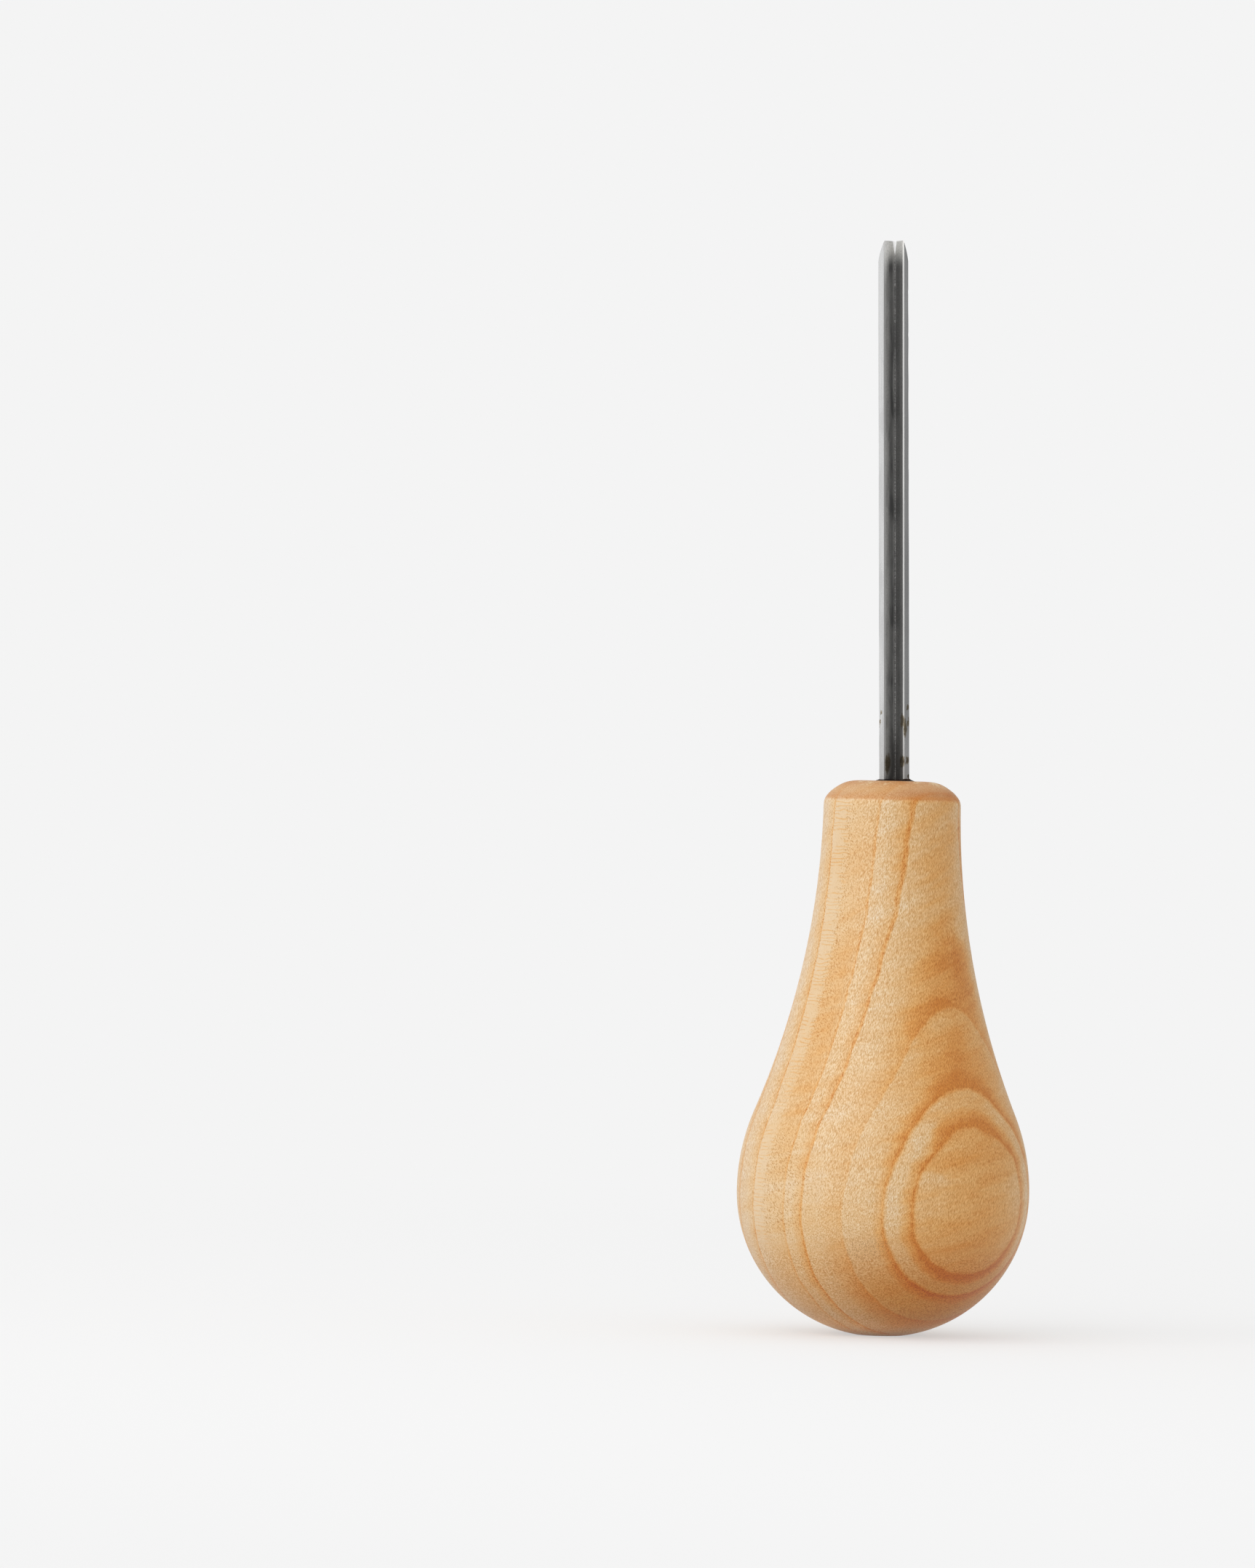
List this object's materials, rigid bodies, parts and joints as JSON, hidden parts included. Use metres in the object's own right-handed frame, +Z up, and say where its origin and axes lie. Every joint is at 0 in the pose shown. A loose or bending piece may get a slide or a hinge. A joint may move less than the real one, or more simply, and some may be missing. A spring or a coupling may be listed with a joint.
{
  "type": "palm v-tool",
  "caption": "Palm-held V-parting carving tool: a turned pear-shaped hardwood handle with a slim V-section steel blade glued into its neck.",
  "frame": {"origin": "centre of the flat on the handle's butt, on the handle's turning axis", "axes": "+Z up the handle's turning axis towards the blade; the channel of the V opens towards -Y; +X to the right seen from the channel side"},
  "size_m": [0.0384, 0.0384, 0.1437],
  "materials": {
    "oiled_hardwood": "honey-coloured close-grained hardwood, turned, sanded and oiled to a satin sheen",
    "tool_steel": "ground along its length, with darker scratched walls inside the channel and bright ground lands",
    "dark_epoxy": "cured dark brown adhesive, slightly glossy"
  },
  "bodies": {
    "root": {"handle": "oiled_hardwood", "blade": "tool_steel", "tang_adhesive": "dark_epoxy"}
  },
  "joints": []
}
